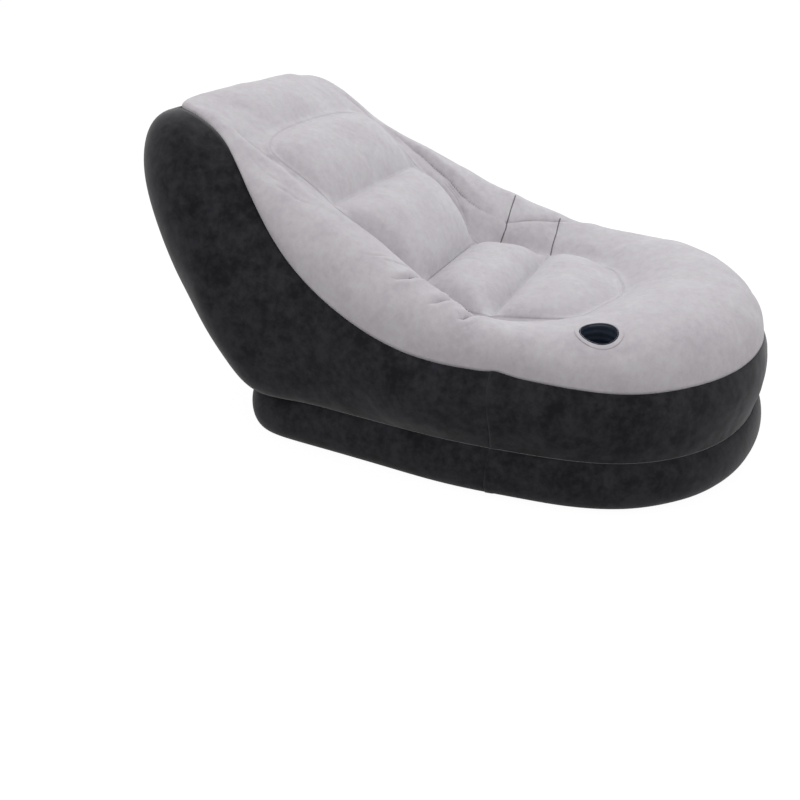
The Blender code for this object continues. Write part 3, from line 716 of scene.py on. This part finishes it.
# folds of both arms; the wing is the surround beside the back, and its crest runs out over the head's corner
sidePaths = {
    "tie": tuple(tiePaths.values()),
    "wallCrease": (
        ((4.45, 0.74), (4.2, 0.77), (3.93, 0.77), (3.81, 0.78), (3.7, 0.79), (3.5, 0.79), (3.36, 0.8),
         (3.23, 0.79), (3.09, 0.78), (2.99, 0.77), (2.9, 0.76), (2.82, 0.75)),
    ),
    "wallLine": (((2.79, 0.74), (2.68, 0.69), (2.58, 0.64), (2.47, 0.6), (2.33, 0.53), (2.14, 0.46)),),
    "wallInnerLine": (
        ((3.64, 0.88), (3.5, 0.86), (3.4, 0.86), (3.3, 0.88), (3.2, 0.91), (3.08, 0.96)),
        ((3.6, 0.84), (3.46, 0.83), (3.34, 0.84), (3.24, 0.87)),
    ),
    "seatWall": (((0.9, 0.92), (1.4, 0.9), (2.0, 0.88), (2.5, 0.88), (2.95, 0.9), (3.3, 0.93), (3.6, 0.95)),),
    "wingCrest": (
        ((3.2, 0.74), (3.4, 0.73), (3.61, 0.73), (3.87, 0.72), (4.07, 0.72), (4.29, 0.71), (4.47, 0.7),
         (4.67, 0.66), (4.77, 0.56), (4.84, 0.53), (4.96, 0.51), (5.1, 0.52)),
    ),
    "wingValley": (((4.64, 0.93), (4.7, 0.8), (4.78, 0.66), (4.87, 0.6), (4.98, 0.58), (5.1, 0.6)),),
}
# folds of the arm with the cup
nearFolds = (
    ((8.88, 0.34), (8.97, 0.38), (9.04, 0.44), (9.1, 0.53), (9.13, 0.6), (9.17, 0.7)),
    ((9.2, 0.28), (9.31, 0.37), (9.38, 0.45), (9.44, 0.51), (9.5, 0.62), (9.54, 0.72)),
    ((9.5, 0.28), (9.62, 0.35), (9.72, 0.47), (9.78, 0.55), (9.83, 0.63), (9.9, 0.76)),
)
# path and depth
smallPuckers = (
    (((8.8, 0.46), (8.9, 0.52), (8.98, 0.6)), 0.0016), (((8.7, 0.42), (8.8, 0.5), (8.86, 0.58)), 0.0012),
    (((8.85, 0.5), (8.96, 0.58), (9.04, 0.66)), 0.0018), (((9.58, 0.22), (9.7, 0.3), (9.8, 0.36)), 0.0012),
    (((7.6, 0.5), (7.8, 0.56)), 0.0014), (((7.75, 0.47), (8.0, 0.55)), 0.0016),
    (((7.92, 0.5), (8.15, 0.59)), 0.0012), (((7.45, 0.45), (7.62, 0.5)), 0.001),
)
foldKinds = {
    "tie": {"sharp": 0.003, "soft": 0.006, "softWidth": 0.026, "ends": (1, 0)},
    "wallCrease": {
        "sharp": 0.011, "sharpWidth": 0.0028, "soft": 0.006, "softWidth": 0.018,
        "ridges": ((0.004, 0.032, 0.018), (0.003, -0.032, 0.018)), "fine": True,
    },
    "wallLine": {
        "sharp": 0.006, "sharpWidth": 0.0024, "soft": 0.002, "softWidth": 0.012, "ends": (0, 1), "fine": True,
    },
    "wallInnerLine": {"sharp": 0.005, "sharpWidth": 0.0026, "fine": True},
    "seatWall": {"soft": 0.01, "softWidth": 0.03},
    "wingCrest": {"ridges": ((0.007, 0, 0.02),)},
    "wingValley": {"sharp": 0.003, "sharpWidth": 0.006, "soft": 0.004, "softWidth": 0.016, "fine": True},
    "nearFold": {
        "sharp": 0.01, "sharpWidth": 0.0024, "soft": 0.0035, "softWidth": 0.009,
        "ridges": ((0.005, -0.016, 0.012), (0.0045, 0.017, 0.013)), "fine": True,
    },
    "smallPucker": {"sharpWidth": 0.003, "fine": True},
}


def surroundFolds():
    folds = [{**plainFold, **foldKinds[kind], "path": turn(path)}
             for turn in bothSides.values() for kind, paths in sidePaths.items() for path in paths]
    folds += [{**plainFold, **foldKinds["nearFold"], "path": path} for path in nearFolds]
    for path, depth in smallPuckers:
        ridges = ((depth / 2, 0.008, 0.005),)
        folds.append({**plainFold, **foldKinds["smallPucker"], "sharp": depth, "ridges": ridges, "path": path})
    return folds


# matrix on a sheet's outer face: Z along its normal or nearer to upright, Y up the sheet
def frameOn(sheet, at, row, leanShare=1.0, stationStep=0.05, rowStep=0.01):
    low, point, high = sheet([at], [row - rowStep, row, row + rowStep])[0]
    along = (sheet([at + stationStep], [row]) - sheet([at - stationStep], [row]))[0, 0]
    rise = Vector(high - low)
    z = Vector(unit(np.cross(along, high - low)) * leanShare + up * (1 - leanShare)).normalized()
    y = (rise - z * z.dot(rise)).normalized()
    turn = Matrix((y.cross(z), y, z)).transposed().to_4x4()
    return Matrix.Translation(Vector(point)) @ turn


cupForm = {
    "bore": 0.076,
    "depth": 0.09,
    "wall": 0.0009,
    "rimWidth": 0.0085,
    "rimThickness": 0.0012,
    "clearance": 0.0006,
    "station": 10.6,
    "row": 0.45,
    "lean": 0.5,
    "ribs": 6,
    "ribDepth": 0.0013,
    "corner": 0.006,
    "floorRing": 0.0012,
    "segments": 120,
    "rings": 72,
    # shares of the depth where the ribs end and where the plain lip ends
    "ribbedShare": 0.94,
    "lipShare": 0.06,
    "rimPower": 0.6,
}
cupPlace = frameOn(rollSheet, cupForm["station"], cupForm["row"], cupForm["lean"])
cupHole = cupForm["bore"] / 2 + cupForm["wall"] + cupForm["clearance"]


# a sheet lies flat where the cup's rim or the valve's flange is welded to it
def awayFrom(points, place, reach):
    flatShare, fadeShare = 1.3, 0.8
    gap = np.linalg.norm(points - np.array(place.translation), axis=-1, keepdims=True)
    return np.clip((gap - flatShare * reach) / (fadeShare * reach), 0, 1)


def makeSurround():
    at = spacedStations(rollSheet, 0, stationsRound, surroundForm["columns"], 0.6)
    rows = np.linspace(0, 1, surroundForm["rows"] + 1)
    points = rollSheet(at, rows)
    pinned = heldGrid(points)
    for turn in bothSides.values():
        for path in tiePaths.values():
            gaps = np.linalg.norm(points[:, :, None] - pathPoints(rollSheet, turn(path)), axis=-1)
            pinned |= gaps.min(axis=-1) < surroundForm["tieReach"]
    moved = puckered("surround", points, pinned, surroundForm["growth"], closed=True)
    normals = gridNormals(points, True)
    moved = moved + dents(points, normals, surroundForm["dentDepth"], surroundForm)
    moved = points + (moved - points) * awayFrom(points, cupPlace, cupHole) + filledGroove(points)
    moved[-1] = moved[0]
    folds = surroundFolds()
    shape = gridShape(moved, True)
    foldShape(shape, rollSheet, folds, surroundForm["fineReach"], surroundForm["fineCuts"])
    openHole(shape, cupPlace, cupHole, cupForm["bore"])
    moves = foldMoves(points.reshape(-1, 3), normals.reshape(-1, 3), rollSheet, folds).reshape(points.shape)
    moved = moved + moves * heldEdge(np.arange(points.shape[1]))[None, :, None]
    addPiece("surround", shape, paleMaterial, ["top_surround"], body["skin"])
    # dark tie weld strips: the weld mark together with painted shade of its groove
    for side, turn in bothSides.items():
        for place, path in tiePaths.items():
            addWeldAndShadeLine(place + "TieWeldAndShade" + side.capitalize(), moved, at, turn(path))
    return at, moved


surroundStations, surroundShown = makeSurround()
print("surround made")


# Inner ties, under the surround's weld lines

tieForm = {"points": 24, "rows": 12, "depth": 3 * body["skin"], "clearance": 0.0012, "thickness": 0.0005}


def makeTies():
    for side, turn in bothSides.items():
        for place, path in tiePaths.items():
            stations, rows = pathSpots(turn(path), tieForm["points"])
            columns = np.interp(stations, surroundStations, np.arange(len(surroundStations)))
            rows = rows * (surroundShown.shape[1] - 1)
            normals = sampled(gridNormals(surroundShown, True), columns, rows)
            top = sampled(surroundShown, columns, rows) - unit(normals) * tieForm["depth"]
            low = top * (1, 1, 0) + up * (body["waistHeight"] + tieForm["clearance"])
            share = np.linspace(0, 1, tieForm["rows"] + 1)[None, :, None]
            points = low[:, None] * (1 - share) + top[:, None] * share
            node = "arm_tie_%s_%s" % (place, side)
            addPiece(place + "Tie" + side.capitalize(), gridShape(points), innerMaterial, [node],
                     thickness=tieForm["thickness"], offset=0.0)


makeTies()
print("ties made")


# Seat and back panels

panelForm = {
    # first and last station, crowns of the two pads, how far they lean to the later weld
    "seatPanel": (1, 3, (0.041, 0.065), (1.5, 1.1)),
    "backPanel": (3, 5, (0.062, 0.042), (1, 1)),
    "padPower": 2.8,
    "sidePower": 4.5,
    # middle of each pad, and how blunt its sides are
    "padStations": (1.5, 2.5, 3.5, 4.5),
    "sideBlunt": (0.5, 0.5, 0.5, 0.8),
    "rowsPerStation": 48,
    "across": 112,
    "growth": 0.02,
    "weldRows": 5,
}


def panelSheet(first, last, crowns, leans):
    side = np.linspace(first, last, (last - first) * panelForm["rowsPerStation"] + 1)
    across = panelForm["across"]
    right = panelLine(side)[:, None]
    left = right * (-1, 1, 1)
    u = np.linspace(0, 1, across + 1)[:, None]
    flat = (1 - u) * right + u * left
    if first == 1:
        end = panelLine(np.linspace(1, -1, across + 1))
        flat = flat + np.clip(2 - side, 0, 1)[:, None, None] * (end - flat[0])
    if last == 5:
        end = panelLine(np.linspace(5, 7, across + 1))
        flat = flat + np.clip(side - 4, 0, 1)[:, None, None] * (end - flat[-1])
    normal = np.cross((1.0, 0.0, 0.0), unit((right[-1] - right[0]) * (0, 1, 1)))
    which = (side - first >= 1).astype(int)
    pad = (side - first - which) ** np.array(leans)[which]
    along = np.array(crowns)[which] * (1 - np.abs(2 * pad - 1) ** panelForm["padPower"])
    blunt = np.interp(side, panelForm["padStations"], panelForm["sideBlunt"])[:, None]
    swell = along[:, None] * (1 - np.abs(2 * u[:, 0] - 1) ** panelForm["sidePower"]) ** blunt
    return flat + swell[..., None] * normal


def makePanels():
    for name, node in (("seatPanel", "seat_panel"), ("backPanel", "back_panel")):
        points = panelSheet(*panelForm[name])
        middle = panelForm["rowsPerStation"]
        pinned = heldGrid(points)
        pinned[[0, 1, middle - 1, middle, middle + 1, -2, -1]] = True
        moved = puckered(name, points, pinned, panelForm["growth"])
        fade = np.clip(np.abs(np.arange(len(points)) - middle) / panelForm["weldRows"], 0, 1)[:, None, None]
        moved = points + (moved - points) * fade + filledGroove(points)
        addPiece(name, gridShape(moved), paleMaterial, [node], body["skin"])


makePanels()
makeBeads()
print("panels made")


# Side bands and base ring

bandForm = {
    "columns": 640,
    "rows": {"SideBand": 56, "BaseBand": 28},
    "frontShare": 0.37,
    "growth": 0.015,
    # stations of the lap at the floor, at the waist and at the seam
    "lap": (2.18, 2.16, 2.0),
    "dents": {"SideBand": 0.001, "BaseBand": 0.0003},
    "dentWave": 0.22,
    "dentSeed": 11,
    "webs": ("lumbar_web", "head_web"),
    "webReach": 0.03,
    "lapWidth": 0.012,
    "lapSpread": 0.8,
    "lapRise": 0.0012,
    "lapFade": 0.6,
}


# a sheet whose stations shift along with the rows near its two ends, so that the lap stands upright
def leaningSheet(sheet, at, rows, low, high):
    middle = (low + high) / 2
    weight = np.sign(np.where(at > stationsRound / 2, -1, at))
    weight = weight * np.exp(-((stationsFromToe(at) - middle) / bandForm["lapSpread"]) ** 2)
    columns = [sheet(at + (low + (high - low) * row - middle) * weight, [row])[:, 0] for row in rows]
    return np.stack(columns, axis=1)


# takes back what moved inwards where the webs inside are welded on
def clearOfWebs(points, moved, normals):
    webs = [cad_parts[name] for name in bandForm["webs"]]
    tree = treeOf([web.matrix_world @ vert.co for web in webs for vert in web.data.vertices])
    gaps = np.array([tree.find(point)[2] for point in points.reshape(-1, 3)]).reshape(points.shape[:2])
    inwards = np.minimum(np.sum((moved - points) * normals, axis=-1), 0)
    return moved - (inwards * np.clip(2 - gaps / bandForm["webReach"], 0, 1))[..., None] * normals


def makeBands():
    floorLap, waistLap, seamLap = bandForm["lap"]
    for kind, sheet, low, high in (("SideBand", bandSheet, waistLap, seamLap),
                                   ("BaseBand", baseSheet, floorLap, waistLap)):
        rows = np.linspace(0, 1, bandForm["rows"][kind] + 1)
        lap, step = (low + high) / 2, 0.1
        stepLength = np.linalg.norm((sheet([lap + step], [0.5]) - sheet([lap], [0.5]))[0, 0])
        overlap = bandForm["lapWidth"] * step / stepLength
        for place, first, last, share in (("front", -lap - overlap, lap + overlap, bandForm["frontShare"]),
                                          ("rear", lap, stationsRound - lap, 1 - bandForm["frontShare"])):
            at = spacedStations(sheet, first, last, 2 * round(bandForm["columns"] * share / 2))
            points = leaningSheet(sheet, at, rows, low, high)
            normals = gridNormals(points)
            pinned = heldGrid(points)
            pinned[[0, 1, -2, -1]] = True
            moved = points
            if kind == "SideBand":
                moved = puckered(place + kind, points, pinned, bandForm["growth"])
            moved = moved + dents(points, normals, bandForm["dents"][kind], bandForm)
            if place == "rear" and kind == "SideBand":
                moved = clearOfWebs(points, moved, normals)
                moved = points + (moved - points) * awayFrom(points, valvePlace, valveForm["reach"])
            if place == "front":
                fromEnd = np.minimum(at - first, last - at) / overlap
                inLap = np.clip(1 + (1 - fromEnd) / bandForm["lapFade"], 0, 1)
                moved = moved + (inLap * bandForm["lapRise"])[:, None, None] * normals
            moved[..., 2] = np.maximum(moved[..., 2], 0)
            shape = gridShape(moved)
            if place == "rear" and kind == "SideBand":
                openHole(shape, valvePlace, valveForm["hole"], valveForm["reach"])
            node = place + ("_side_band" if kind == "SideBand" else "_base_band")
            addPiece(place + kind, shape, darkMaterial, [node], body["skin"])


valveForm = {"row": 0.25, "hole": 0.0209, "reach": 0.03}
valvePlace = frameOn(bandSheet, stationsRound / 2, valveForm["row"])
makeBands()
print("bands made")


# Cup well

# height of the surround's face over the cup's own plane, as a smooth function of the place on that plane
def cupFace():
    at = cupForm["station"] + np.linspace(-0.4, 0.4, 33)
    near = rollSheet(at, np.linspace(0.1, 0.8, 33))
    local = (near.reshape(-1, 3) - np.array(cupPlace.translation)) @ np.array(cupPlace.to_3x3())
    local = local[np.hypot(local[:, 0], local[:, 1]) < 1.4 * cupHole]
    powers = [(a, b) for a in range(5) for b in range(5 - a)]
    terms = np.stack([local[:, 0] ** a * local[:, 1] ** b for a, b in powers], axis=-1)
    weights = np.linalg.lstsq(terms, local[:, 2], rcond=None)[0]
    return lambda x, y: sum(w * x**a * y**b for w, (a, b) in zip(weights, powers))


def ringGrid(radii, heights, angles):
    x, y = radii * np.cos(angles)[:, None], radii * np.sin(angles)[:, None]
    local = np.stack([x, y, np.broadcast_to(heights, x.shape)], axis=-1)
    return local @ np.array(cupPlace.to_3x3()).T + np.array(cupPlace.translation)


def makeCup():
    face = cupFace()
    angles = np.linspace(0, -2 * math.pi, cupForm["segments"] + 1)
    angles[-1] = 0
    bore, depth = cupForm["bore"] / 2, cupForm["depth"]
    rimTop = cupForm["clearance"] + cupForm["rimThickness"]
    top = face(bore * np.cos(angles), bore * np.sin(angles))[:, None] + rimTop
    low = cupForm["wall"] - depth
    down = np.linspace(0, 1, cupForm["rings"] + 1)
    ribs = 0.5 - 0.5 * np.cos(2 * math.pi * cupForm["ribs"] * np.clip(down / cupForm["ribbedShare"], 0, 1))
    radii = bore - cupForm["ribDepth"] * ribs * np.clip(down / cupForm["lipShare"], 0, 1)
    heights = top * (1 - down) ** 2 + low * down
    corner = cupForm["corner"]
    turns = np.linspace(0, math.pi / 2, 8)[1:]
    floorRadii = np.linspace(bore - corner, 0, 14)[1:]
    radii = np.concatenate([radii[:-1], bore - corner * (1 - np.cos(turns)), floorRadii])
    floorHeights = low + cupForm["floorRing"] * np.cos(floorRadii / bore * 3 * math.pi) ** 2
    lower = np.concatenate([low + corner * (1 - np.sin(turns)), floorHeights])
    heights = np.concatenate([heights[:, :-1], np.broadcast_to(lower, (len(angles), len(lower)))], axis=1)
    shape = gridShape(ringGrid(np.broadcast_to(radii, heights.shape), heights, angles), True)
    addPiece("cupWell", shape, cupMaterial, ["cup_well"], cupForm["wall"])

    turns = np.linspace(0, 2 * math.pi, 25)
    turns[-1] = 0
    half, power = cupForm["rimWidth"] / 2, cupForm["rimPower"]
    radii = cupHole + half + half * np.sign(np.cos(turns)) * np.abs(np.cos(turns)) ** power
    rise = cupForm["rimThickness"] * (0.5 + 0.5 * np.sign(np.sin(turns)) * np.abs(np.sin(turns)) ** power)
    radii = np.broadcast_to(radii, (len(angles), len(turns)))
    faces = face(radii * np.cos(angles)[:, None], radii * np.sin(angles)[:, None])
    points = ringGrid(radii, faces + cupForm["clearance"] / 2 + rise, angles)
    addPiece("cupRim", gridShape(points[:, ::-1], True), paleMaterial, ["cup_rim"])


makeCup()
print("cup made")


# Bottom sheet

def makeBottom():
    at = np.linspace(0, stationsRound, 301)
    edge = floorLine(at) - outward(floorLine, at) * body["skin"]
    edge[-1] = edge[0]
    middle = np.array((0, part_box("bottom_sheet")[0].y / 2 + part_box("bottom_sheet")[1].y / 2, 0))
    share = np.linspace(1, 0, 40)[None, :, None]
    points = edge[:, None] * share + middle * (1 - share)
    shape = gridShape(points[:, ::-1], True)
    addPiece("bottomSheet", shape, bottomMaterial, ["bottom_sheet"], body["skin"])


makeBottom()

# carried-over CAD nodes: the valve and the sheets inside
for name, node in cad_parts.items():
    finish = {"valve_seal": sealMaterial, "valve_flap": sealMaterial, "waist_sheet": bottomMaterial}.get(
        name, valveMaterial if name.startswith("valve") else innerMaterial)
    for slot in node.material_slots:
        slot.material = finish
print("bottom, valve and inner sheets finished")


# Stage, camera and light

stageForm = {"size": 60, "drop": 0.0003, "grey": 0.45, "roughness": 0.9, "glow": 1.2, "glowShare": 0.8}
worldLight = {"tint": (1, 0.968, 0.99), "strength": 0.73}
lamps = {
    "farLamp": {
        "place": (3.0, -0.5, 2.5), "target": (0, 0, 0.3), "size": 2.0, "energy": 48, "colour": (0.93, 0.98, 1),
    },
    "topLamp": {"place": (0, 0.3, 3.2), "target": (0, 0, 0.3), "size": 1.8, "energy": 9},
    "headLamp": {"place": (-2.4, 2.2, 1.8), "target": (0, 0.4, 0.4), "size": 1.4, "energy": 9},
    "toeLamp": {"place": (-1.6, -2.8, 1.4), "target": (0, -0.3, 0.3), "size": 1.8, "energy": 6},
}


# the camera sees the floor nearly white, and the chair gets the light of grey paper from it
def makeStage():
    shape = bmesh.new()
    bmesh.ops.create_grid(shape, x_segments=1, y_segments=1, size=stageForm["size"])
    floor = meshObject("floor", shape)
    floor.location.z = -stageForm["drop"]
    material, tree, shader = newMaterial("floorPaper")
    setSocket(tree, shader.inputs["Base Color"], (stageForm["grey"],) * 3)
    shader.inputs["Roughness"].default_value = stageForm["roughness"]
    shader.inputs["Specular IOR Level"].default_value = 0
    glow = tree.nodes.new("ShaderNodeEmission")
    glow.inputs["Strength"].default_value = stageForm["glow"]
    rays = tree.nodes.new("ShaderNodeLightPath")
    blend = tree.nodes.new("ShaderNodeMixShader")
    seen = mathNode(tree, "MULTIPLY", rays.outputs["Is Camera Ray"], stageForm["glowShare"])
    tree.links.new(seen, blend.inputs["Fac"])
    tree.links.new(shader.outputs["BSDF"], blend.inputs[1])
    tree.links.new(glow.outputs["Emission"], blend.inputs[2])
    tree.links.new(blend.outputs["Shader"], tree.nodes["Material Output"].inputs["Surface"])
    floor.data.materials.append(material)


def makeWorld():
    world = bpy.data.worlds.new("studio")
    bpy.context.scene.world = world
    world.use_nodes = True
    tree = world.node_tree
    background = tree.nodes["Background"]
    rays = tree.nodes.new("ShaderNodeLightPath")
    seen = mathNode(tree, "MAXIMUM", rays.outputs["Is Camera Ray"], rays.outputs["Is Glossy Ray"])
    seen = mathNode(tree, "MAXIMUM", seen, rays.outputs["Is Transmission Ray"])
    tree.links.new(mixColours(tree, seen, worldLight["tint"], (1, 1, 1)), background.inputs["Color"])
    tree.links.new(mapRange(tree, seen, 0, 1, worldLight["strength"], 1), background.inputs["Strength"])


def makeLamps():
    for name, form in lamps.items():
        data = bpy.data.lights.new(name, "AREA")
        data.color = form.get("colour", (1, 1, 1))
        data.shape = "DISK"
        data.size = form["size"]
        data.energy = form["energy"]
        lamp = bpy.data.objects.new(name, data)
        lamp.location = form["place"]
        aim = Vector(form["target"]) - Vector(form["place"])
        lamp.rotation_euler = aim.to_track_quat("-Z", "Y").to_euler()
        bpy.context.scene.collection.objects.link(lamp)


view = {
    "target": (-0.577, -0.03305, 0.25),
    "azimuth": -67.4,
    "elevation": 25.54,
    "distance": 1.87,
    "focalPixels": 930,
    "imagePixels": 800,
    "sensor": 36,
}


def makeCamera():
    data = bpy.data.cameras.new("camera")
    data.sensor_width = view["sensor"]
    data.lens = view["focalPixels"] * view["sensor"] / view["imagePixels"]
    camera = bpy.data.objects.new("camera", data)
    bpy.context.scene.collection.objects.link(camera)
    azimuth, elevation = math.radians(view["azimuth"]), math.radians(view["elevation"])
    level = math.cos(elevation)
    back = Vector((math.sin(azimuth) * level, -math.cos(azimuth) * level, math.sin(elevation)))
    camera.location = Vector(view["target"]) + back * view["distance"]
    camera.rotation_mode = "QUATERNION"
    camera.rotation_quaternion = (-back).to_track_quat("-Z", "Y")
    bpy.context.scene.camera = camera


makeStage()
makeWorld()
makeLamps()
makeCamera()
bpy.context.scene.view_settings.view_transform = "Standard"
print("stage, lamps and camera made")
